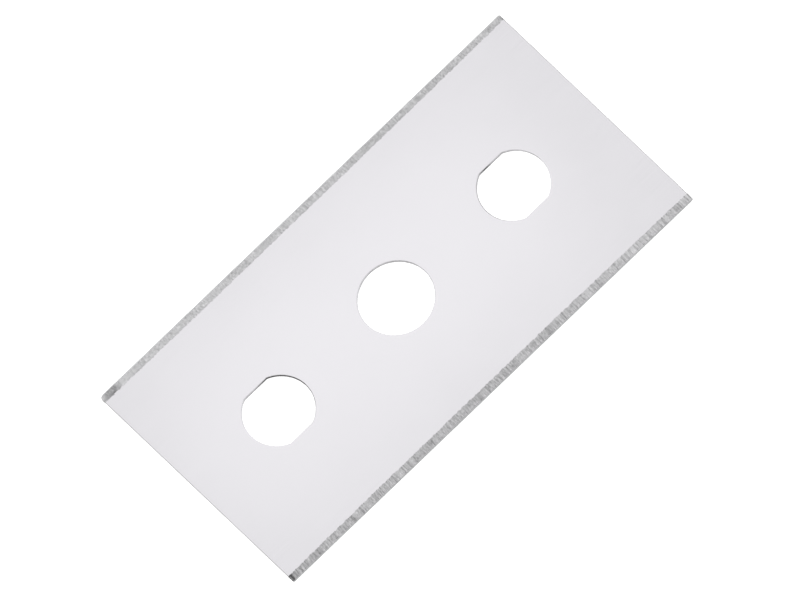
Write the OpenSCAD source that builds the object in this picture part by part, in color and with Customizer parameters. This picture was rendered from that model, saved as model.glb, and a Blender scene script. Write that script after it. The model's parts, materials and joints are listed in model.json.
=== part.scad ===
// Replacement blade for a hob scraper: one rectangle of hardened strip steel, sharpened along
// both long sides, with a row of three holes that seat it in a holder.
// X runs along the cutting edges, Y from one edge to the other, Z up through the thickness.
// The origin is the middle of the lower face, on the axis of the middle hole.

/* [Strip] */
// Length along the cutting edges
blade_length = 43; // [40:0.1:54]
// Width from one cutting edge to the other
blade_width = 22.2; // [18:0.1:28]
// Thickness of the strip
blade_thickness = 0.3; // [0.2:0.01:0.4]

/* [Cutting edges] */
// Width of the ground bevel on each face, from its shoulder to the edge
bevel_width = 0.7; // [0.5:0.01:1]
// Width of the honed facet beside the edge, taken from the bevel
honed_width = 0.1; // [0.05:0.01:0.2]
// Angle of a honed facet to the plane midway between the faces
honed_angle = 17; // [14:0.5:24]

/* [Holes] */
// Diameter of the round hole in the middle
middle_hole_diameter = 6.1; // [4:0.1:8]
// Diameter of each outer hole across its round ends
outer_hole_diameter = 5.8; // [4:0.1:7.5]
// How far each flat of an outer hole stands inside that diameter
flat_inset = 0.26; // [0.1:0.01:0.6]
// Distance from the middle hole to each outer hole
hole_pitch = 12.65; // [9:0.05:15]

/* [Hidden] */

// Number of sides drawn on a round hole
round_sides = 96;
// How far a hole's cutter runs past each face
cut_margin = 1;

mid_height = blade_thickness / 2;
edge_y = blade_width / 2;
honed_y = edge_y - honed_width;
shoulder_y = edge_y - bevel_width;
honed_rise = honed_width * tan(honed_angle);

// Upper half of the cross-section, from one cutting edge over the face to the other
upper_outline = [
    [edge_y, mid_height],
    [honed_y, mid_height + honed_rise],
    [shoulder_y, blade_thickness],
    [-shoulder_y, blade_thickness],
    [-honed_y, mid_height + honed_rise],
    [-edge_y, mid_height]
];

// Lower half: the points between the two edges, mirrored in the plane midway between the faces
last_inner = len(upper_outline) - 2;
lower_outline = [
    for (i = [last_inner:-1:1]) [upper_outline[i][0], blade_thickness - upper_outline[i][1]]
];

// The strip with its bevels, as one cross-section carried along the edges
module ground_strip() {
    translate([-blade_length / 2, 0, 0])
        rotate([90, 0, 90])
            linear_extrude(height = blade_length)
                polygon(concat(upper_outline, lower_outline));
}

// Cutter for a round hole through the strip
module round_hole(diameter) {
    translate([0, 0, -cut_margin])
        cylinder(d = diameter, h = blade_thickness + 2 * cut_margin, $fn = round_sides);
}

// Cutter for a hole whose two sides are flats that run along the blade
module flatted_hole(diameter, inset) {
    across_flats = diameter - 2 * inset;
    intersection() {
        round_hole(diameter);
        translate([-diameter, -across_flats / 2, -2 * cut_margin])
            cube([2 * diameter, across_flats, blade_thickness + 4 * cut_margin]);
    }
}

module blade() {
    color("gainsboro")
        difference() {
            ground_strip();
            round_hole(middle_hole_diameter);
            for (side = [-1, 1])
                translate([side * hole_pitch, 0, 0])
                    flatted_hole(outer_hole_diameter, flat_inset);
        }
}

blade();
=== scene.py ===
# %% [markdown]
# # A scraper blade
# One blade of hardened strip steel lies on a white table. It is a thin rectangle, ground to a cutting
# edge along both long sides, with a row of three punched holes. The lesson shows how far such a plain
# thing can be taken: a shape worked out with numpy, down to the lips that a punch leaves, and finishes
# made only with nodes. The packed CAD model is loaded first. It stays where it is and gives the sizes, in
# metres: X runs along the cutting edges, Y from edge to edge and Z up through the thickness.

# %% Load the CAD model and read its sizes
import json
import math
from collections import namedtuple

import bpy
import numpy as np
from mathutils import Matrix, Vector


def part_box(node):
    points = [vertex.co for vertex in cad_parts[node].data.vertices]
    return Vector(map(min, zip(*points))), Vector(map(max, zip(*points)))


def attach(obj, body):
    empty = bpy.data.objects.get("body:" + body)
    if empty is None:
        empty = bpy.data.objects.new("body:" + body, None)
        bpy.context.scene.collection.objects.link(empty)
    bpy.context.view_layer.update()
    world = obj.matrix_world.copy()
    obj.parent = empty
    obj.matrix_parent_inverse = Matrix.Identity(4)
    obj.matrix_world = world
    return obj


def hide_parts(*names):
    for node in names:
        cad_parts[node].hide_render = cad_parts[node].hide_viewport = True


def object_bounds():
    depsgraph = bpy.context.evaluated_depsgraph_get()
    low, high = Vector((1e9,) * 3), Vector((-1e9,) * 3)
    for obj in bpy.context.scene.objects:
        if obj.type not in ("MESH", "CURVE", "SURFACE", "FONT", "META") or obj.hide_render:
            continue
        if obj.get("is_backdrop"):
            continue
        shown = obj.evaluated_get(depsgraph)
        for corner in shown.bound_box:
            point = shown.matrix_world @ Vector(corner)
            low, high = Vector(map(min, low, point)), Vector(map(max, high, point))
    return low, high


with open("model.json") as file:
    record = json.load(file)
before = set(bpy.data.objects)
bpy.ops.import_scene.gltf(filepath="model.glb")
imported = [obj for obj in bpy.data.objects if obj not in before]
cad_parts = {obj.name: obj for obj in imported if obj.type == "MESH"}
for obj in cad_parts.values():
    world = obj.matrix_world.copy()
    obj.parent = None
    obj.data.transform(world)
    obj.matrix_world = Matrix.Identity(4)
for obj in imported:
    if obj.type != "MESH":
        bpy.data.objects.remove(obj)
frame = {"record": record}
cad_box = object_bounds()
MM = 0.001
low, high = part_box("blade")
blade_length, blade_width, blade_thickness = (round(side, 7) for side in high - low)
half_length = blade_length / 2
half_width = blade_width / 2
mid_height = blade_thickness / 2
print(f"blade {blade_length / MM:.2f} x {blade_width / MM:.2f} x {blade_thickness / MM:.2f} mm")

# %% [markdown]
# ## Camera
# Opposite sides of the blade are parallel in the photograph, so the camera is orthographic, as through a
# very long lens. It could be placed by trial, but four corners settle it. The steps in pixels for a metre
# along X and for a metre along Y make a 2 by 2 matrix. Its larger stretch is a length seen square on,
# which is the scale, and its smaller one is shortened by the slant of the view. The missing heights of
# the camera's axes follow, because the axes are at right angles and one unit long.

# %% Camera from four corners
picture_width = 800
picture_height = 600
left_corner = np.array((99.2, 398.3))
top_corner = np.array((498.9, 15.2))
right_corner = np.array((693.3, 200.1))
bottom_corner = np.array((293.9, 583.0))
middle_hole = np.array((396.7, 296.0))
camera_distance = 300 * MM

y_upwards = np.array((1, -1))
along = ((top_corner - left_corner) + (right_corner - bottom_corner)) / 2 / blade_length * y_upwards
across = ((left_corner - bottom_corner) + (top_corner - right_corner)) / 2 / blade_width * y_upwards
steps = np.column_stack([along, across])
pixels_per_metre = np.linalg.norm(steps, 2)
camera_right, camera_up = steps / pixels_per_metre
up_rise = math.sqrt(1 - camera_up @ camera_up)
right_rise = -(camera_right @ camera_up) / up_rise
camera_right = np.append(camera_right, right_rise)
camera_up = np.append(camera_up, up_rise)
camera_back = np.cross(camera_right, camera_up)

seen_middle = np.mean([left_corner, top_corner, right_corner, bottom_corner, middle_hole], axis=0)
shift_right = (picture_width / 2 - seen_middle[0]) / pixels_per_metre
shift_up = (seen_middle[1] - picture_height / 2) / pixels_per_metre
aim = np.array((0, 0, mid_height)) + camera_right * shift_right + camera_up * shift_up

camera = bpy.data.objects.new("photo_camera", bpy.data.cameras.new("photo_camera"))
camera.data.type = "ORTHO"
camera.data.ortho_scale = picture_width / pixels_per_metre
camera.data.clip_start = 1 * MM
camera.data.clip_end = 5
turned = Matrix(np.column_stack([camera_right, camera_up, camera_back]).tolist())
camera.matrix_world = Matrix.Translation(aim + camera_back * camera_distance) @ turned.to_4x4()
bpy.context.scene.collection.objects.link(camera)
bpy.context.scene.camera = camera
elevation = math.degrees(math.asin(camera_back[2]))
print(f"camera {pixels_per_metre * MM:.2f} px/mm, elevation {elevation:.2f} degrees")

# %% [markdown]
# ## White table
# The blade lies on a sheet of white acrylic. A bare sheet would show a soft shadow round so thin a blade,
# so it is lit from below, as tables for shadowless pictures are. The glow is a plain number on the
# shader.

# %% Table
table_reach = 2.0
table_drop = 0.005 * MM
table_white = (0.9, 0.9, 0.9, 1)
table_glow = 0.6
table_sides = table_reach * np.array(((-1, -1), (1, -1), (1, 1), (-1, 1)))
table_corners = np.column_stack([table_sides, np.full(4, -table_drop)]).tolist()
table_mesh = bpy.data.meshes.new("white_table")
table_mesh.from_pydata(table_corners, [], [(0, 1, 2, 3)])
table = bpy.data.objects.new("white_table", table_mesh)
bpy.context.scene.collection.objects.link(table)
table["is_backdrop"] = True
acrylic = bpy.data.materials.new("white_acrylic")
acrylic.use_nodes = True
acrylic_sockets = acrylic.node_tree.nodes["Principled BSDF"].inputs
acrylic_sockets["Base Color"].default_value = table_white
acrylic_sockets["Roughness"].default_value = 0.9
acrylic_sockets["Specular IOR Level"].default_value = 0
acrylic_sockets["Emission Color"].default_value = (1, 1, 1, 1)
acrylic_sockets["Emission Strength"].default_value = table_glow
table_mesh.materials.append(acrylic)
print("table", 2 * table_reach, "m wide, with a glow of", table_glow)

# %% [markdown]
# ## Light tent
# Bright steel shows what is round it, so it is photographed in a tent of white cloth. Lamps and cloth
# could be modelled, but a world does the same: brightest overhead, darker towards the horizon, and a
# little brighter beyond the blade, where the lamp stands behind the cloth.

# %% Light tent
tent_roof = 1.45
tent_horizon = 0.45
tent_lean = 0.33
tent_below = 1.4
roof_starts = 0.08
roof_ends = 0.45


def new_node(tree, kind, sockets=None, **settings):
    """A new node of a kind, with some of its settings and the numbers on some of its sockets."""
    node = tree.nodes.new(kind)
    for name, value in settings.items():
        setattr(node, name, value)
    for name, value in (sockets or {}).items():
        node.inputs[name].default_value = value
    return node


def light_tent():
    """Light from a direction (x, y, z): an S-curve of z from the horizon's value to the roof's, times
    one plus the lean times y. From below the horizon it has one plain value."""
    world = bpy.data.worlds.new("light_tent")
    world.use_nodes = True
    tree = world.node_tree
    tree.nodes.clear()
    way = new_node(tree, "ShaderNodeTexCoord")
    parts = new_node(tree, "ShaderNodeSeparateXYZ")
    climb = {"From Min": roof_starts, "From Max": roof_ends, "To Min": tent_horizon, "To Max": tent_roof}
    height = new_node(tree, "ShaderNodeMapRange", climb, interpolation_type="SMOOTHSTEP")
    lean = new_node(tree, "ShaderNodeMath", {1: tent_lean, 2: 1}, operation="MULTIPLY_ADD")
    cloth = new_node(tree, "ShaderNodeMath", operation="MULTIPLY")
    above = new_node(tree, "ShaderNodeMath", {1: 0}, operation="GREATER_THAN")
    glow = new_node(tree, "ShaderNodeMix", {"A": tent_below}, data_type="FLOAT")
    light = new_node(tree, "ShaderNodeBackground")
    out = new_node(tree, "ShaderNodeOutputWorld")
    tree.links.new(way.outputs["Generated"], parts.inputs["Vector"])
    tree.links.new(parts.outputs["Z"], height.inputs["Value"])
    tree.links.new(parts.outputs["Y"], lean.inputs[0])
    tree.links.new(height.outputs["Result"], cloth.inputs[0])
    tree.links.new(lean.outputs[0], cloth.inputs[1])
    tree.links.new(parts.outputs["Z"], above.inputs[0])
    tree.links.new(above.outputs[0], glow.inputs["Factor"])
    tree.links.new(cloth.outputs[0], glow.inputs["B"])
    tree.links.new(glow.outputs["Result"], light.inputs["Strength"])
    tree.links.new(light.outputs["Background"], out.inputs["Surface"])
    return world


bpy.context.scene.world = light_tent()
bpy.context.scene.view_settings.view_transform = "Standard"
print("tent", tent_roof, "overhead and", tent_horizon, "at the horizon")

# %% [markdown]
# ## Sheen panel
# The face has a soft sheen in the middle and is darker towards its ends. A light far away can't do that
# on a flat face, because all of it mirrors the same direction. A small panel close by can: it hangs on
# the line from the sheen's middle along which the face mirrors the camera, and towards the ends it leaves
# the mirror. A panel's power is its glow times pi times its area.

# %% Sheen panel
panel_distance = 80 * MM
panel_length = 36 * MM
panel_width = 16 * MM
panel_glow = 0.26
sheen_middle = np.array((-2.5 * MM, 0.5 * MM, blade_thickness))

mirrored = camera_back * (-1, -1, 1)
panel_y = np.cross(mirrored, (1, 0, 0))
panel_y = panel_y / np.linalg.norm(panel_y)
panel_x = np.cross(panel_y, mirrored)
panel_turn = Matrix(np.column_stack([panel_x, panel_y, mirrored]).tolist()).to_4x4()
panel_light = bpy.data.lights.new("sheen_panel", "AREA")
panel_light.shape = "RECTANGLE"
panel_light.size = panel_length
panel_light.size_y = panel_width
panel_light.energy = panel_glow * math.pi * panel_length * panel_width
panel = bpy.data.objects.new("sheen_panel", panel_light)
panel.visible_camera = False
panel.matrix_world = Matrix.Translation(sheen_middle + mirrored * panel_distance) @ panel_turn
bpy.context.scene.collection.objects.link(panel)
print("panel at", np.round(np.array(panel.matrix_world.translation) / MM, 1), "mm")

# %% [markdown]
# ## How the strip is worked
# The order of the work explains every surface. The soft strip is rolled, which leaves the satin faces.
# The holes are punched: on the side where the punch goes in the face is drawn down into a small lip, then
# comes a smooth land, and lower down the slug tears out a little wider. The strip is hardened, which
# leaves dark scale in the holes. Then a wheel grinds a bevel on each side of both edges, across the
# strip, and finer stones hone a narrow facet at the very edge. At last the strip is snapped into blades,
# so their ends are sheared like the holes, but bright. These are small sizes that the CAD model's box
# doesn't give.

# %% Sizes of the worked surfaces
bevel_width = 0.7 * MM
honed_width = 0.1 * MM
honed_slope = math.tan(math.radians(17))
flat_inset = 0.26 * MM
lip_width = 0.05 * MM
lip_share = 0.09
break_width = 0.015 * MM
land_share = 0.5
dish_depth = 0.003 * MM
dish_reach = 0.3 * MM

hole_names = ("locating_hole_left", "centre_hole", "locating_hole_right")
mounts = {mount["name"]: mount for mount in frame["record"]["mounts"]}
hole_places = [mounts[name]["pos_m"][0] for name in hole_names]
hole_radii = [mounts[name]["dims"]["r_mm"] * MM for name in hole_names]
flat_insets = [0 if mounts[name]["kind"] == "bore" else flat_inset for name in hole_names]
hole_flats = [radius - inset for radius, inset in zip(hole_radii, flat_insets)]
for name, place, radius, flat in zip(hole_names, hole_places, hole_radii, hole_flats):
    across_mm, flats_mm = 2 * radius / MM, 2 * flat / MM
    print(f"{name} at {place / MM:.2f} mm, {across_mm:.2f} across, {flats_mm:.2f} over its flats")

# %% [markdown]
# ## Ragged lines
# A ground shoulder is never quite straight: each grain of the wheel ends its own scratch a little sooner
# or later. A wandering line could be drawn by hand, or be a sine wave, but a hand-drawn one is long and a
# wave repeats. The usual answer is value noise: random heights at even steps, joined by smooth S-curves.
# Adding a few sizes of step gives both the fine teeth and the slow drift, and a fixed seed gives the same
# line on each run.


# %% Noise along a path
def smooth_noise(at, step, seed, closed=False):
    """Random heights from -1 to 1, one every step along the path, joined by S-curves 3t^2 - 2t^3.
    A closed path ends with the height that it starts with."""
    count = max(3, round(np.ptp(at) / step))
    knots = np.random.default_rng(seed).uniform(-1, 1, count + 2)
    if closed:
        knots[count:] = knots[:2]
    place = (at - at.min()) / np.ptp(at) * count
    left = np.floor(place).astype(int)
    share = place - left
    share = share * share * (3 - 2 * share)
    return knots[left] * (1 - share) + knots[left + 1] * share


def ragged(at, steps_and_shares, seed, closed=False):
    """The sum of several noises, each with its own step and its own share of the height."""
    height = np.zeros_like(at)
    for k, (step, share) in enumerate(steps_and_shares):
        height = height + share * smooth_noise(at, step, seed + k, closed)
    return height


grain_steps = ((0.1 * MM, 0.65), (0.22 * MM, 0.35), (0.7 * MM, 0.12))
sampled = ragged(np.linspace(0, blade_length, 700), grain_steps, seed=1)
print(f"ragged line from {sampled.min():.2f} to {sampled.max():.2f}")

# %% [markdown]
# ## Four grinds
# Each long side has two bevels, one on each face, that meet in the cutting edge halfway up. They are
# ground one after another, and no two come out alike: a thin strip springs a little under the wheel, so a
# bevel is wider in the middle or at one end, a worn wheel leaves darker steel as it goes, and near some
# corners the bevel is darker. So each grind has its own few values: how far its shoulder bows and tapers,
# its tone and how that leans from end to end, how plain its scratches are, and a darkening near each end.
# A darkening is a depth, the distance of its middle from the end, and its reach to both sides. A grind's
# key is its side and its face, and a corner's key is its end and its side, each 1 or -1 as on the axes.

# %% Values of the four grinds
# A darkening makes a bevel darker near one end.
Burn = namedtuple("Burn", "depth middle reach")
Grind = namedtuple("Grind", "bow taper tone lean scratches left_burn right_burn")
no_darkening = Burn(0, 0, 1 * MM)
light_darkening = Burn(0.1, 0.05 * MM, 0.3 * MM)
long_darkening = Burn(0.25, 0.95 * MM, 0.95 * MM)
deep_darkening = Burn(0.5, 0.12 * MM, 0.2 * MM)
grinds = {
    (1, 1): Grind(0.035 * MM, -0.045 * MM, -0.01, -0.025, 0.05, long_darkening, light_darkening),
    (-1, 1): Grind(0.055 * MM, 0.015 * MM, 0.015, 0.06, 0.14, deep_darkening, no_darkening),
    (1, -1): Grind(0.04 * MM, 0.03 * MM, 0, 0.04, 0.1, light_darkening, deep_darkening),
    (-1, -1): Grind(0.03 * MM, -0.02 * MM, 0, -0.05, 0.12, no_darkening, long_darkening),
}
corner_radii = {(-1, 1): 0.35 * MM, (1, 1): 0.12 * MM, (-1, -1): 0.1 * MM, (1, -1): 0.1 * MM}
plainness = [grind.scratches for grind in grinds.values()]
print(len(grinds), "grinds, with scratches of", min(plainness), "to", max(plainness), "in tone")

# %% [markdown]
# ## Bevels
# A bevel could be a plain chamfer, but here it is a ruled surface: straight lines from a ragged shoulder
# on the face to a nearly straight line at the honed facet, so the shoulder's teeth run out across the
# bevel as shallow grooves, as on the real grind. The strip is a grid: columns along X, and rows from the
# face over the shoulder to the edge. A row is a little shorter where the strip is thick, which leaves
# room for the sheared lip at each end, and shorter again close to the edge, where the thin corner has
# worn round.

# %% Columns along the blade
column_step = 0.045 * MM
half_pitch = hole_places[-1] / 2
cell_borders = np.array((-half_length, -half_pitch, half_pitch, half_length))
cell_columns = np.round(np.diff(cell_borders) / column_step).astype(int)
border_columns = np.concatenate([[0], np.cumsum(cell_columns)])
end_setback = {1: lip_width, -1: break_width}


def edge_columns(setback):
    """X of each column: even steps between the borders of the three hole cells, stopped short of both
    ends by the setback."""
    borders = cell_borders.copy()
    borders[[0, -1]] -= np.sign(borders[[0, -1]]) * setback
    spans = zip(borders, borders[1:], cell_columns)
    return np.concatenate([*(np.linspace(a, b, n, endpoint=False) for a, b, n in spans), borders[-1:]])


def corner_setback(inwards, radius):
    """How far a round corner stops short of the end: the radius less the other side of the right-angled
    triangle in its circle."""
    depth = np.clip(radius - inwards, 0, radius)
    return radius - np.sqrt(radius**2 - depth**2)


print(border_columns[-1] + 1, "columns, in cells of", cell_columns)

# %% Bevel strips
core_margin = 0.95 * MM
shoulder_wander = 0.06 * MM
honed_wander = 0.012 * MM
bevel_bands = 4
bevel_crowding = 0.7
bevel_rows = np.linspace(0, 1, bevel_bands + 1)[:, None] ** bevel_crowding
honed_rows = np.array((0.5, 0.0))[:, None]
scratch_steps = ((0.06 * MM, 0.95), (0.15 * MM, 0.1))
scratch_skew = 0.25
stretch_step = 5 * MM
stretch_swing = 0.35
drift_steps = ((0.6 * MM, 0.012), (1.4 * MM, 0.02), (3.5 * MM, 0.025), (9 * MM, 0.02))
darkening_fullness = 1.35


def shoulder_line(x, grind, seed):
    """Distance of the shoulder from the edge: the bevel's width, plus a bow times one less twice the
    square of the place along the blade, plus a taper times that place, plus the ragged teeth."""
    place = x / half_length
    slow = grind.bow * (1 - 2 * place**2) + grind.taper * place
    return bevel_width + slow + shoulder_wander * ragged(x, grain_steps, seed)


def grind_tone(x, grind, seed):
    """How bright the grind is along the blade: its tone, a drift, a lean and the scratches, less the
    darkening near each end. A darkening is its depth times one less the distance from its middle divided
    by its reach, times its fullness, held between 0 and 1. Taking off a share of their square makes the
    scratches thin and dark, and they are plainer on some stretches than on others."""
    stretches = 1 + stretch_swing * smooth_noise(x, stretch_step, seed + 32)
    scratches = ragged(x, scratch_steps, seed)
    scratches = scratches - scratch_skew * (scratches**2 - np.mean(scratches**2))
    tone = grind.tone + grind.scratches * stretches * scratches
    tone = tone + ragged(x, drift_steps, seed + 2) + grind.lean * x / half_length
    for end, darkening in ((-1, grind.left_burn), (1, grind.right_burn)):
        off_middle = np.abs(half_length - end * x - darkening.middle)
        tone = tone - darkening.depth * np.clip(darkening_fullness * (1 - off_middle / darkening.reach), 0, 1)
    return tone


def bevel_strip(side, face, seed):
    """Rows at a distance from the edge and a rise above mid thickness. From the shoulder (its line, half
    the thickness) to the honed line (honed width, that width times its slope) and on to the edge, the
    rows lie on straight lines. A round corner's setback fades along the row as exp(-distance from the end
    / two radii). Also returns how bright the grind is at each point."""
    grind = grinds[side, face]
    x = edge_columns(0)
    shoulder = shoulder_line(x, grind, seed)
    honed = honed_width + honed_wander * ragged(x, grain_steps, seed + 10)
    core = np.full_like(x, core_margin)
    inwards = np.vstack([core, shoulder + (honed - shoulder) * bevel_rows, honed * honed_rows])
    honed_rise = honed * honed_slope
    bevel_rise = mid_height + (honed_rise - mid_height) * bevel_rows
    rise = np.vstack([np.full_like(x, mid_height), bevel_rise, honed_rise * honed_rows])
    plan_x = x + (edge_columns(end_setback[face]) - x) * rise / mid_height
    for end, column in ((-1, 0), (1, -1)):
        radius = corner_radii[end, side]
        short = corner_setback(inwards[:, column], radius)[:, None]
        plan_x = plan_x - end * short * np.exp((end * x - half_length) / (2 * radius))
    grid = np.stack([plan_x, side * (half_width - inwards), mid_height + face * rise], axis=-1)
    return grid, np.broadcast_to(grind_tone(x, grind, seed + 20), rise.shape)


trial, trial_tone = bevel_strip(1, 1, seed=100)
print("bevel strip of", trial.shape[0], "rows and", trial.shape[1], "columns")
print(f"its tone differs by {trial_tone.std():.3f} along the blade")

# %% [markdown]
# ## Faces round the holes
# A face with holes could be a cut-out polygon, but its long thin triangles shade badly. Instead the face
# is three cells, one to a hole. Each cell is a grid of rings that starts as the hole's rim and ends as a
# rectangle, so the cells fit each other and the bevel strips point for point. A ray from the hole's axis
# to each point of the rectangle meets the rim where the circle ends, or sooner, where a flat cuts it off.
# Close to the rim the face sinks by a few thousandths of a millimetre, because the punch pulls it down.

# %% Hole cells
cell_rings = 8
ring_crowding = 2.4
side_rows = 100
smallest_sine = 1e-6
core_half_width = half_width - core_margin


def rim_at(index, turn, setback):
    """Points of a hole's rim at some angles. The distance from the axis is the radius, or the distance
    to the flat divided by the angle's sine where that is less. The setback moves both into the metal."""
    to_flat = (hole_flats[index] + setback) / np.maximum(np.abs(np.sin(turn)), smallest_sine)
    reach = np.minimum(hole_radii[index] + setback, to_flat)
    return np.column_stack([hole_places[index] + reach * np.cos(turn), reach * np.sin(turn)])


def cell_outline(index, face):
    """The rectangle round a hole, anticlockwise from its lower left corner back to that corner, in steps
    that match its neighbours."""
    x = edge_columns(end_setback[face])[border_columns[index] : border_columns[index + 1] + 1]
    y = np.linspace(-core_half_width, core_half_width, side_rows + 1)
    lower = np.column_stack([x, np.full_like(x, y[0])])
    right = np.column_stack([np.full_like(y, x[-1]), y])
    upper = np.column_stack([x, np.full_like(x, y[-1])])[::-1]
    left = np.column_stack([np.full_like(y, x[0]), y])[::-1]
    return np.concatenate([lower[:-1], right[:-1], upper[:-1], left])


def hole_cell(index, face):
    """Rings between a rim and its rectangle: each point moves along its ray by a power of the ring's
    share, so the rings crowd at the rim. The face sinks by dish depth times exp(-distance / dish reach).
    Also returns the angles of the rays."""
    outline = cell_outline(index, face)
    turn = np.arctan2(outline[:, 1], outline[:, 0] - hole_places[index])
    rim = rim_at(index, turn, end_setback[face])
    share = np.linspace(0, 1, cell_rings + 1)[:, None, None] ** ring_crowding
    plan = rim + (outline - rim) * share
    sunk = dish_depth * np.exp(-np.linalg.norm(plan - rim, axis=-1) / dish_reach)
    return np.dstack([plan, mid_height + face * (mid_height - sunk)]), turn


trial, _ = hole_cell(1, 1)
print("hole cell of", trial.shape[0], "rings and", trial.shape[1], "columns")

# %% [markdown]
# ## Sheared walls
# The same profile closes the three holes and the two ends: the drawn-down lip, the smooth land and the
# torn part below it. It is carried along a path, as a moulding is along a wall. The path is known three
# times over: where the upper face stops, where the lower face stops, and the cut between them. A row of
# the wall is a mix of those three, at its share of the height, so the profile shrinks to nothing by
# itself where an end runs out in an edge.

# %% Walls
lip_spans = 4
land_steps = ((0.5 * MM, 0.07), (0.15 * MM, 0.035))
tear_step = 0.2 * MM
tear_wander = 0.21
lip_turn = np.linspace(0, math.pi / 2, lip_spans + 1)
lip_heights = 1 - lip_share * (1 - np.cos(lip_turn))
lip_pulls = 1 - np.sin(lip_turn)
torn_heights = land_share * np.array((1.0, 0.7, 0.35, 0.0))
torn_pulls = np.array((0.0, 0.45, 0.8, 1.0))
land_row = lip_spans + 1
wall_bands = land_row + len(torn_heights) - 1


def sheared_wall(upper, lower, cut, seed, closed):
    """Rows from the upper path to the lower one. A row's plan is the cut, pulled to the upper path by a
    quarter ellipse over the lip and to the lower path over the torn part, and its height is a share of
    the way up. The line where the land ends, and the tear below it, wander along the path."""
    path = np.concatenate([[0], np.cumsum(np.linalg.norm(np.diff(cut, axis=0), axis=1))])
    heights = np.concatenate([lip_heights, torn_heights])[:, None] + np.zeros_like(path)
    to_upper = np.concatenate([lip_pulls, np.zeros_like(torn_pulls)])[:, None] + np.zeros_like(path)
    to_lower = np.concatenate([np.zeros_like(lip_pulls), torn_pulls])[:, None] + np.zeros_like(path)
    heights[land_row] += ragged(path, land_steps, seed, closed)
    to_lower[land_row + 1] += tear_wander * smooth_noise(path, tear_step, seed + 2, closed)
    to_upper = to_upper[..., None]
    to_lower = to_lower[..., None]
    plan = cut * (1 - to_upper - to_lower) + upper[:, :2] * to_upper + lower[:, :2] * to_lower
    z = lower[:, 2] + (upper[:, 2] - lower[:, 2]) * heights
    return np.dstack([plan, z])


print("wall of", wall_bands, "bands, its land from", 1 - lip_share, "down to", land_share, "of the height")

# %% [markdown]
# ## Patches of the skin
# Every patch is now a grid of points: four bevel strips, six hole cells, three hole walls and two end
# walls. Each is kept with a region for every band of its faces, which picks the finish later, and with
# its tone. A wall's tone is partly the scale that hardening left and partly painted shade, the shade that
# falls inside a hole, and it differs from hole to hole. It is darkest on one side and fades out over the
# lip. On another side the darkness creeps further up the lip, and in one hole there is a small dark spot.
# The sides are in degrees, anticlockwise from X.

# %% Scale and painted shade in the holes
# Each hole's darkness is partly hardening scale and partly painted shade inside the hole.
Scale = namedtuple("Scale", "tone depth side creep creep_side drop drop_side")
scale_and_shade = (
    Scale(tone=0.35, depth=0.9, side=5, creep=0, creep_side=6, drop=0, drop_side=0),
    Scale(tone=0.2, depth=0.27, side=10, creep=0, creep_side=20, drop=0, drop_side=0),
    Scale(tone=0.2, depth=0.2, side=70, creep=0.5, creep_side=180, drop=0.5, drop_side=102),
)
clean_tone = 0.5
creep_narrowness = 4
dark_spot_narrowness = 90
scale_and_shade_steps = ((0.4 * MM, 0.05), (1.2 * MM, 0.1))
rim_share = 0.02
lip_shares = np.clip(np.arange(wall_bands + 1) / lip_spans, rim_share, 1)[:, None]
lip_power = 0.6
creep_power = 0.5
hole_seed = 500


def near_side(turn, side, narrowness):
    """How near some angles are to a side: the cosine of the difference, or 0 where that is negative, to
    the power of the narrowness."""
    return np.clip(np.cos(turn - np.radians(side)), 0, 1) ** narrowness


def scale_and_shade_tone(index, turn, seed):
    """Tone of a hole's wall, row by row: the hole's own tone, less the darkness, plus noise. The darkness
    is partly scale and partly painted shade inside the hole. It is a depth times one half plus the cosine
    of the angle from the darkest side, held between 0 and 1, plus the creep and the dark spot near their
    own sides. Over the lip the tone goes from the clean face's to the wall's by a power of the share of
    the way, which is smallest where the darkness creeps furthest up. The share is never quite 0, so the
    darkness can creep right up to the rim."""
    own_scale_and_shade = scale_and_shade[index]
    crept = near_side(turn, own_scale_and_shade.creep_side, creep_narrowness)
    darkness = own_scale_and_shade.depth * np.clip(0.5 + np.cos(turn - np.radians(own_scale_and_shade.side)), 0, 1)
    darkness = darkness + own_scale_and_shade.creep * crept
    darkness = darkness + own_scale_and_shade.drop * near_side(turn, own_scale_and_shade.drop_side, dark_spot_narrowness)
    tone = own_scale_and_shade.tone - darkness + ragged(turn * hole_radii[index], scale_and_shade_steps, seed, closed=True)
    return clean_tone + (tone - clean_tone) * lip_shares ** (lip_power - creep_power * crept)


trial_tone = scale_and_shade_tone(0, np.linspace(-math.pi, math.pi, 360), hole_seed)
print(f"tone of the first hole's wall from {trial_tone.min():.2f} to {trial_tone.max():.2f}")

# %% Faces, bevels and hole walls
FACE, BEVEL, HONED, PUNCHED, SNAPPED = range(5)
strip_seed = 200
patches = []
strips = {}
cells = {}


def add_patch(grid, regions, flip, tone=0.0):
    """Keeps a grid with a region for each of its bands of faces, and its tone at each point."""
    patches.append((grid, np.asarray(regions), flip, np.broadcast_to(tone, grid.shape[:2])))


strip_regions = [FACE] + [BEVEL] * (len(bevel_rows) - 1) + [HONED] * len(honed_rows)
for side, face in grinds:
    strips[side, face], tone = bevel_strip(side, face, seed=strip_seed + 100 * face + 50 * side)
    add_patch(strips[side, face], strip_regions, side * face < 0, tone)

# A hole's wall comes before its faces, because the weld keeps the first tone that it meets at a point.
for index in range(len(hole_names)):
    cells[index, -1], _ = hole_cell(index, -1)
    cells[index, 1], turn = hole_cell(index, 1)
    seed = hole_seed + 10 * index
    wall = sheared_wall(cells[index, 1][0], cells[index, -1][0], rim_at(index, turn, 0), seed, closed=True)
    add_patch(wall, [PUNCHED] * wall_bands, False, scale_and_shade_tone(index, turn, seed))
    add_patch(cells[index, -1], [FACE] * cell_rings, False, clean_tone)
    add_patch(cells[index, 1], [FACE] * cell_rings, True, clean_tone)
print(len(patches), "patches so far")


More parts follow.
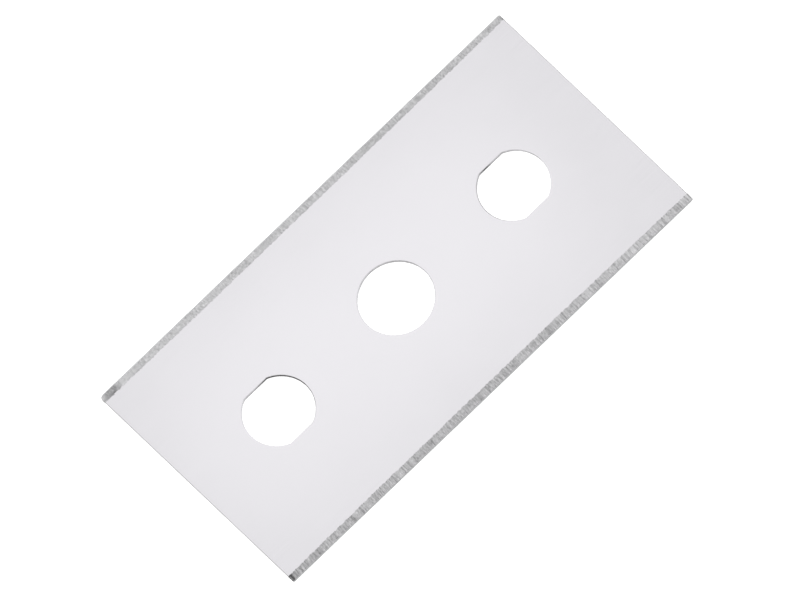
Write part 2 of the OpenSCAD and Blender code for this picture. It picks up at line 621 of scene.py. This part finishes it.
# %% End walls
def end_path(end, face):
    """The border of a face at one end, from the near edge to the far one: over one bevel strip, along the
    outer side of the last cell and over the other strip. An outline has that side after its lower one
    at the right-hand end, and after its lower, right and upper ones at the left-hand end."""
    column = -1 if end > 0 else 0
    index = len(hole_names) - 1 if end > 0 else 0
    start = cell_columns[index] if end > 0 else 2 * cell_columns[index] + side_rows
    side = cells[index, face][-1][start : start + side_rows + 1][::end]
    return np.concatenate([strips[-1, face][::-1, column], side[1:-1], strips[1, face][:, column]])


end_seed = 600
for end in (1, -1):
    upper = end_path(end, 1)
    lower = end_path(end, -1)
    y = (upper[:, 1] + lower[:, 1]) / 2
    radii = np.where(y > 0, corner_radii[end, 1], corner_radii[end, -1])
    x = end * (half_length - corner_setback(half_width - np.abs(y), radii))
    wall = sheared_wall(upper, lower, np.column_stack([x, y]), seed=end_seed + 10 * end, closed=False)
    add_patch(wall, [SNAPPED] * wall_bands, end > 0)
print(len(patches), "patches in all")

# %% [markdown]
# ## One closed skin
# A grid becomes four-sided faces by joining each point to its neighbours, turned round on the patches
# that are mirrored, so that all faces look outwards. Patches share their border points, so rounding all
# points to a hundredth of a micrometre and keeping the first of each welds the skin. Where an end wall
# runs out in an edge, corners fall together: such a face loses a corner, or is dropped.


# %% Weld
def grid_faces(shape, flip):
    """Corner numbers of each face of a grid, band by band: a point, the next one along the row, and the
    two beside them on the next row."""
    at = np.arange(shape[0] * shape[1]).reshape(shape)
    faces = np.stack([at[:-1, :-1], at[:-1, 1:], at[1:, 1:], at[1:, :-1]], axis=-1)
    return faces[..., ::-1] if flip else faces


weld_step = 1e-5 * MM
sizes = [grid.shape[0] * grid.shape[1] for grid, *_ in patches]
starts = np.concatenate([[0], np.cumsum(sizes)[:-1]])
points = np.concatenate([grid.reshape(-1, 3) for grid, *_ in patches])
tones = np.concatenate([tone.ravel() for *_, tone in patches])
regions = np.concatenate([np.repeat(bands, grid.shape[1] - 1) for grid, bands, *_ in patches])
faces = [grid_faces(grid.shape[:2], flip).reshape(-1, 4) for grid, _, flip, _ in patches]
faces = [own + start for own, start in zip(faces, starts)]

keys = np.round(points / weld_step).astype(np.int64)
_, first, welded = np.unique(keys, axis=0, return_index=True, return_inverse=True)
points = points[first]
tones = tones[first]
corners = welded.reshape(-1)[np.concatenate(faces)]
kept = corners != np.roll(corners, -1, axis=1)
count = kept.sum(axis=1)
fours = corners[count == 4]
threes = corners[count == 3][kept[count == 3]].reshape(-1, 3)
regions = np.concatenate([regions[count == 4], regions[count == 3]])
print(len(points), "points,", len(fours), "four-sided faces and", len(threes), "triangles")

# %% Mesh
skin = bpy.data.meshes.new("ground_blade")
skin.from_pydata(points.tolist(), [], fours.tolist() + threes.tolist())
skin.polygons.foreach_set("material_index", regions.astype(np.int32))
skin.polygons.foreach_set("use_smooth", np.ones(len(regions), bool))
worked_tone = skin.attributes.new("worked_tone", "FLOAT", "POINT")
worked_tone.data.foreach_set("value", tones.astype(np.float32))
blade = bpy.data.objects.new("ground_blade", skin)
bpy.context.scene.collection.objects.link(blade)
print("mesh with", 2 * len(fours) + len(threes), "triangles")

# %% [markdown]
# ## Sharp edges, and a test of the skin
# Smooth shading would round off the shoulders and the cutting edge. An edge stays sharp where its two
# faces belong to different regions or fold by more than a set angle, but not at a hole's rim, where the
# face rolls over into the lip. The same lists show whether the skin is closed: every edge then has two
# faces. The volume is a sum over pyramids from the origin.

# %% Sharp edges and test
fold_limit = math.cos(math.radians(25))
corner_edges = np.empty(len(skin.loops), np.int32)
skin.loops.foreach_get("edge_index", corner_edges)
closed = bool((np.bincount(corner_edges, minlength=len(skin.edges)) == 2).all())
corner_faces = np.repeat(np.arange(len(regions)), [4] * len(fours) + [3] * len(threes))
pairs = corner_faces[np.argsort(corner_edges, kind="stable")].reshape(-1, 2)
normals = np.empty(len(regions) * 3, np.float32)
skin.polygons.foreach_get("normal", normals)
normals = normals.reshape(-1, 3)
folds = (normals[pairs[:, 0]] * normals[pairs[:, 1]]).sum(axis=1)
either = np.sort(regions[pairs], axis=1)
rim = (either == (FACE, PUNCHED)).all(axis=1)
sharp = (either[:, 0] != either[:, 1]) & ~rim | (folds < fold_limit)
sharp_edges = skin.attributes.new("sharp_edge", "BOOLEAN", "EDGE")
sharp_edges.data.foreach_set("value", sharp)

a, b, c, d = (points[corners[:, k]] for k in range(4))
volume = (np.cross(b - a, c - a) * a).sum() / 6 + (np.cross(c - a, d - a) * a).sum() / 6
print("closed:", closed, f"and the volume is {volume / MM**3:.2f} mm3, with", sharp.sum(), "sharp edges")
print("faults mended by Blender's own test:", skin.validate())

# %% [markdown]
# ## Effects that the finishes share
# Every surface of the blade is worked in one direction, so its finish needs fine lines that run one way:
# rolling lines along the faces, grinding lines across the bevels and upright lines on the sheared walls.
# Noise that is stretched along the lines gives them. The finishes also share cloudy changes of tone, and
# the faces have small pits. Each effect is a node group, built once, and each finish places it with its
# own values.


# %% Lines
def new_group(name, output, *inputs):
    """An empty shader group that reads a place and some values, with one value output, and its two end
    nodes."""
    group = bpy.data.node_groups.new(name, "ShaderNodeTree")
    group.interface.new_socket("Place", in_out="INPUT", socket_type="NodeSocketVector")
    for label in inputs:
        group.interface.new_socket(label, in_out="INPUT", socket_type="NodeSocketFloat")
    group.interface.new_socket(output, in_out="OUTPUT", socket_type="NodeSocketFloat")
    return group, group.nodes.new("NodeGroupInput"), group.nodes.new("NodeGroupOutput")


def worked_lines_group():
    """Noise read at (x * fineness, y * run, z * run) after a turn about Z: lines that follow the turned
    Y axis on a face, and stand upright on a wall."""
    group, given, made = new_group("worked_lines", "Lines", "Turn", "Fineness", "Run")
    turn = new_node(group, "ShaderNodeVectorRotate", rotation_type="Z_AXIS")
    stretch = new_node(group, "ShaderNodeCombineXYZ")
    scaled = new_node(group, "ShaderNodeVectorMath", operation="MULTIPLY")
    noise = new_node(group, "ShaderNodeTexNoise", {"Scale": 1, "Detail": 4, "Roughness": 0.62})
    group.links.new(given.outputs["Place"], turn.inputs["Vector"])
    group.links.new(given.outputs["Turn"], turn.inputs["Angle"])
    group.links.new(given.outputs["Fineness"], stretch.inputs["X"])
    group.links.new(given.outputs["Run"], stretch.inputs["Y"])
    group.links.new(given.outputs["Run"], stretch.inputs["Z"])
    group.links.new(turn.outputs["Vector"], scaled.inputs[0])
    group.links.new(stretch.outputs["Vector"], scaled.inputs[1])
    group.links.new(scaled.outputs["Vector"], noise.inputs["Vector"])
    group.links.new(noise.outputs["Fac"], made.inputs["Lines"])
    return group


worked_lines = worked_lines_group()
print("group", worked_lines.name, "with", len(worked_lines.nodes), "nodes")


# %% Clouds
def cloudy_tone_group():
    """Soft noise with a few octaves, at a scale in clouds per metre."""
    group, given, made = new_group("cloudy_tone", "Tone", "Scale")
    noise = new_node(group, "ShaderNodeTexNoise", {"Detail": 3, "Roughness": 0.55})
    group.links.new(given.outputs["Place"], noise.inputs["Vector"])
    group.links.new(given.outputs["Scale"], noise.inputs["Scale"])
    group.links.new(noise.outputs["Fac"], made.inputs["Tone"])
    return group


cloudy_tone = cloudy_tone_group()
print("group", cloudy_tone.name, "with", len(cloudy_tone.nodes), "nodes")


# %% Pits
pit_rarity = 0.6
largest_pit = 0.16
pit_steepness = 9


def small_pits_group():
    """One round pit in some of the cells of a grid of random points: the radius less the distance from
    the point, times the steepness, held between 0 and 1. The radius grows from 0 to the largest one as
    the cell's random number goes from the rarity to 1."""
    group, given, made = new_group("small_pits", "Pits", "Scale")
    cellular = new_node(group, "ShaderNodeTexVoronoi", feature="F1")
    tint = new_node(group, "ShaderNodeSeparateColor")
    rare = new_node(group, "ShaderNodeMapRange", {"From Min": pit_rarity, "To Max": largest_pit})
    pit = new_node(group, "ShaderNodeMath", operation="SUBTRACT", use_clamp=True)
    full = new_node(group, "ShaderNodeMath", {1: pit_steepness}, operation="MULTIPLY", use_clamp=True)
    group.links.new(given.outputs["Place"], cellular.inputs["Vector"])
    group.links.new(given.outputs["Scale"], cellular.inputs["Scale"])
    group.links.new(cellular.outputs["Color"], tint.inputs["Color"])
    group.links.new(tint.outputs["Red"], rare.inputs["Value"])
    group.links.new(rare.outputs["Result"], pit.inputs[0])
    group.links.new(cellular.outputs["Distance"], pit.inputs[1])
    group.links.new(pit.outputs[0], full.inputs[0])
    group.links.new(full.outputs[0], made.inputs["Pits"])
    return group


small_pits = small_pits_group()
print("group", small_pits.name, "with", len(small_pits.nodes), "nodes")

# %% [markdown]
# ## A bench for finishes
# A node material is easy to build and hard to read, because most of its lines only join sockets. A small
# class hides that: it makes the metal shader, and its methods return sockets, so a finish reads like a
# sum.


# %% Short ways to add nodes
land_blur = 0.1


class Finish:
    """A material with a metal shader, and short ways to add the nodes that drive it."""

    def __init__(self, name):
        self.material = bpy.data.materials.new(name)
        self.material.use_nodes = True
        self.tree = self.material.node_tree
        self.shader = self.tree.nodes["Principled BSDF"]
        self.shader.inputs["Metallic"].default_value = 1
        self.place = new_node(self.tree, "ShaderNodeTexCoord").outputs["Object"]
        parts = new_node(self.tree, "ShaderNodeSeparateXYZ")
        self.tree.links.new(self.place, parts.inputs["Vector"])
        self.across, self.height = parts.outputs["Y"], parts.outputs["Z"]

    def join(self, given, socket):
        """Links a socket to a value, or sets the value on it if that is a number or a colour."""
        if isinstance(given, bpy.types.NodeSocket):
            self.tree.links.new(given, socket)
        else:
            socket.default_value = given

    def effect(self, group, **values):
        """Places a shared group on Object coordinates, with its values, and returns its output."""
        node = new_node(self.tree, "ShaderNodeGroup", node_tree=group)
        self.tree.links.new(self.place, node.inputs["Place"])
        for name, value in values.items():
            node.inputs[name].default_value = value
        return node.outputs[0]

    def kept_tone(self):
        """The tone that the mesh keeps at its points."""
        return new_node(self.tree, "ShaderNodeAttribute", attribute_name="worked_tone").outputs["Fac"]

    def maths(self, operation, *given):
        """One Math node on numbers and sockets."""
        node = new_node(self.tree, "ShaderNodeMath", operation=operation)
        for value, socket in zip(given, node.inputs):
            self.join(value, socket)
        return node.outputs[0]

    def total(self, start, *weighted):
        """Start plus each value, less its middle of one half, times its weight."""
        for value, weight in weighted:
            start = self.maths("MULTIPLY_ADD", value, weight, self.maths("ADD", start, -weight / 2))
        return start

    def between(self, value, low, high):
        """How far a value lies on the way from low to high, held between 0 and 1."""
        node = new_node(self.tree, "ShaderNodeMapRange", {"From Min": low, "From Max": high})
        self.tree.links.new(value, node.inputs["Value"])
        return node.outputs["Result"]

    def on_land(self):
        """0 on the torn part of a sheared wall and 1 on its land, by the height."""
        torn = (land_share - land_blur) * blade_thickness
        smooth = (land_share + land_blur) * blade_thickness
        return self.between(self.height, torn, smooth)

    def blend(self, share, first, second):
        """A colour between two, which may be plain colours or other blends. A Mix node has sockets of
        the same name for numbers, vectors and colours, so those for colours are picked by number."""
        node = new_node(self.tree, "ShaderNodeMix", data_type="RGBA")
        for value, socket in ((share, 0), (first, 6), (second, 7)):
            self.join(value, node.inputs[socket])
        return node.outputs[2]

    def finish(self, colour, roughness, relief, depth):
        """Links the colour, the roughness and the relief, whose full height is the depth."""
        bump = new_node(self.tree, "ShaderNodeBump", {"Strength": 1, "Distance": depth})
        self.tree.links.new(relief, bump.inputs["Height"])
        self.tree.links.new(colour, self.shader.inputs["Base Color"])
        self.tree.links.new(roughness, self.shader.inputs["Roughness"])
        self.tree.links.new(bump.outputs["Normal"], self.shader.inputs["Normal"])
        print("finish", self.material.name, "with", len(self.tree.nodes), "nodes")
        return self.material


print("bench with", len([name for name in vars(Finish) if not name.startswith("_")]), "ways to add nodes")

# %% [markdown]
# ## Rolled face
# The faces keep the satin of the rolls: close lines along the strip, too fine to see from a step away,
# and a faint cloudiness where oil has been wiped off. A picture of steel could be laid over them, but it
# would blur close up, and noise doesn't. All of it is gentle in colour and shows mostly in the roughness,
# so the face stays even from above and comes alive when light grazes it.


# %% Rolled face
face_dull = (0.536, 0.527, 0.547, 1)
face_bright = (0.602, 0.593, 0.614, 1)


def rolled_face():
    """Pale, slightly violet steel. Lines along X, clouds and pits nudge the tone, the gloss and the
    relief."""
    steel = Finish("rolled_face")
    lines = steel.effect(worked_lines, Turn=math.pi / 2, Fineness=16000, Run=220)
    clouds = steel.effect(cloudy_tone, Scale=130)
    pits = steel.effect(small_pits, Scale=2600)
    tone = steel.total(0.5, (lines, 0.9), (clouds, 0.6), (pits, -0.2))
    colour = steel.blend(tone, face_dull, face_bright)
    roughness = steel.total(0.22, (lines, 0.12), (clouds, 0.06))
    relief = steel.total(0.5, (lines, 0.5), (pits, -0.5))
    return steel.finish(colour, roughness, relief, depth=0.00025 * MM)


skin.materials.append(rolled_face())

# %% [markdown]
# ## Ground bevel
# A cup wheel crosses the strip twice, with its front and its back, so its scratches run from the shoulder
# to the edge with two slight slants. The plainest ones, and the slow changes from end to end, come from
# the tone that the mesh keeps, because noise along one line is easy to balance in numpy: each size of
# step has its own share. The nodes add the hair-fine scratches between them, and some short ones where a
# grain broke off.


# %% Ground bevel
# The bevel's grey is partly its own duller grind and partly painted shade among its rough scratches.
ground_dark = (0.0605, 0.06, 0.0615, 1)
ground_bright = (0.742, 0.74, 0.751, 1)
ground_slant = math.radians(5)


def ground_bevel():
    """Grey steel with lines across the strip. Its tone is the mesh's own tone, fine lines and short
    ones."""
    steel = Finish("ground_bevel")
    fine = steel.effect(worked_lines, Turn=ground_slant, Fineness=10500, Run=520)
    crossing = steel.effect(worked_lines, Turn=-ground_slant, Fineness=7500, Run=600)
    short = steel.effect(worked_lines, Turn=ground_slant / 2, Fineness=24000, Run=3800)
    tone = steel.total(steel.kept_tone(), (fine, 0.4), (crossing, 0.3), (short, 1.6))
    tone = steel.maths("ADD", tone, 0.5)
    colour = steel.blend(tone, ground_dark, ground_bright)
    roughness = steel.total(0.42, (fine, 0.15), (short, 0.15))
    relief = steel.total(0.5, (fine, 0.45), (crossing, 0.35), (short, 0.25))
    return steel.finish(colour, roughness, relief, depth=0.004 * MM)


skin.materials.append(ground_bevel())

# %% [markdown]
# ## Honed facet
# Finer stones leave the facet at the edge smoother than the bevel behind it, with hair-fine lines and a
# higher polish. It is only a tenth of a millimetre wide, so it reads as a thin line of light along the
# edge. A plain mirror would give that line too, but close up it would look like chrome, so the lines stay
# in it, and a share of the bevel's tone carries the bevel's darker ends on to the edge.


# %% Honed facet
honed_dark = (0.25, 0.25, 0.253, 1)
honed_bright = (0.58, 0.58, 0.584, 1)
honed_slant = math.radians(-3)
honed_share = 0.8


def honed_facet():
    """Polished grey steel with very fine lines across the strip, darkened by a share of the mesh's
    tone."""
    steel = Finish("honed_facet")
    fine = steel.effect(worked_lines, Turn=honed_slant, Fineness=14000, Run=900)
    drift = steel.effect(cloudy_tone, Scale=500)
    tone = steel.maths("MULTIPLY_ADD", steel.kept_tone(), honed_share, 0.5)
    tone = steel.total(tone, (fine, 1.0), (drift, 0.6))
    colour = steel.blend(tone, honed_dark, honed_bright)
    roughness = steel.total(0.26, (fine, 0.12))
    relief = steel.total(0.5, (fine, 0.6))
    return steel.finish(colour, roughness, relief, depth=0.001 * MM)


skin.materials.append(honed_facet())

# %% [markdown]
# ## Punched wall
# Inside the holes the steel keeps the scale of hardening, because nothing polishes it away there, and its
# dark is also painted shade, the shade inside the holes. The punch leaves upright lines. The land is
# smoother and brighter, and the torn part under it is rougher and darker. At the top of the lip the tone
# is clean, so there the finish has the colour and the gloss of the face and the two meet without a line.
# A round wall turns through every direction, so its lines are the sum of two sets, one that changes along
# X and one along Y. Both hardly change on the way up.


# %% Punched wall
# The dark colour is partly scale and partly painted shade inside the holes.
scale_and_shade_dark = (0.04, 0.038, 0.036, 1)
scale_and_shade_free = (0.569, 0.56, 0.58, 1)


def punched_wall():
    """Steel from dark scale and painted shade to the clean face, by the mesh's tone, with upright lines.
    The height tells land from tear."""
    steel = Finish("punched_wall")
    grain = steel.effect(cloudy_tone, Scale=9000)
    lines = steel.effect(worked_lines, Turn=0, Fineness=13000, Run=900)
    more_lines = steel.effect(worked_lines, Turn=math.pi / 2, Fineness=13000, Run=900)
    tone = steel.maths("ADD", steel.kept_tone(), 0.5)
    tone = steel.total(tone, (grain, 0.4), (lines, 0.4), (more_lines, 0.4), (steel.on_land(), 0.3))
    colour = steel.blend(tone, scale_and_shade_dark, scale_and_shade_free)
    roughness = steel.total(0.42, (grain, 0.1), (tone, -0.4))
    relief = steel.total(0.5, (grain, 0.5), (lines, 0.4), (more_lines, 0.4))
    return steel.finish(colour, roughness, relief, depth=0.002 * MM)


skin.materials.append(punched_wall())

# %% [markdown]
# ## Snapped end
# The ends are broken after the last grinding, so they are bare bright steel, with the same upright lines
# and the same duller torn part as the holes. Only beside the cutting edges, where the steel is thin, is
# the break dark. The dark parts could be kept in the mesh's tone, as the bevels' dark ends are, but here
# Object coordinates are enough: the distance from the middle line finds them.


# %% Snapped end
torn_steel = (0.26, 0.256, 0.26, 1)
land_steel = (0.46, 0.455, 0.46, 1)
# Beside the cutting edges the end is darker.
edge_end_dark = (0.06, 0.059, 0.058, 1)
edge_end_pale = (0.14, 0.137, 0.134, 1)
dark_starts = half_width - bevel_width - 0.05 * MM
dark_ends = half_width - bevel_width + 0.15 * MM


def snapped_end():
    """Bright steel with upright lines, duller below the land, and dark where the distance from the
    middle line passes the shoulder."""
    steel = Finish("snapped_end")
    grain = steel.effect(cloudy_tone, Scale=9000)
    lines = steel.effect(worked_lines, Turn=math.pi / 2, Fineness=15000, Run=1200)
    clouds = steel.effect(cloudy_tone, Scale=600)
    land = steel.on_land()
    near_edge = steel.between(steel.maths("ABSOLUTE", steel.across), dark_starts, dark_ends)
    tone = steel.total(0.5, (grain, 0.8), (lines, 1.1), (clouds, 0.6), (land, 0.5))
    bare = steel.blend(tone, torn_steel, land_steel)
    dark = steel.blend(tone, edge_end_dark, edge_end_pale)
    colour = steel.blend(near_edge, bare, dark)
    roughness = steel.total(0.4, (grain, 0.2), (land, -0.15))
    relief = steel.total(0.5, (grain, 0.5), (lines, 0.7))
    return steel.finish(colour, roughness, relief, depth=0.003 * MM)


skin.materials.append(snapped_end())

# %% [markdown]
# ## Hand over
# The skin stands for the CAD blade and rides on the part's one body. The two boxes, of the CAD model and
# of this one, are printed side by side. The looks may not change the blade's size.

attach(blade, "root")
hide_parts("blade")
boxes = {"cad": cad_box, "visual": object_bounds()}
boxes = {name: [list(corner) for corner in box] for name, box in boxes.items()}
for name, box in boxes.items():
    low, high = np.round(np.array(box) / MM, 3)
    print(name, "box from", low, "to", high, "mm")
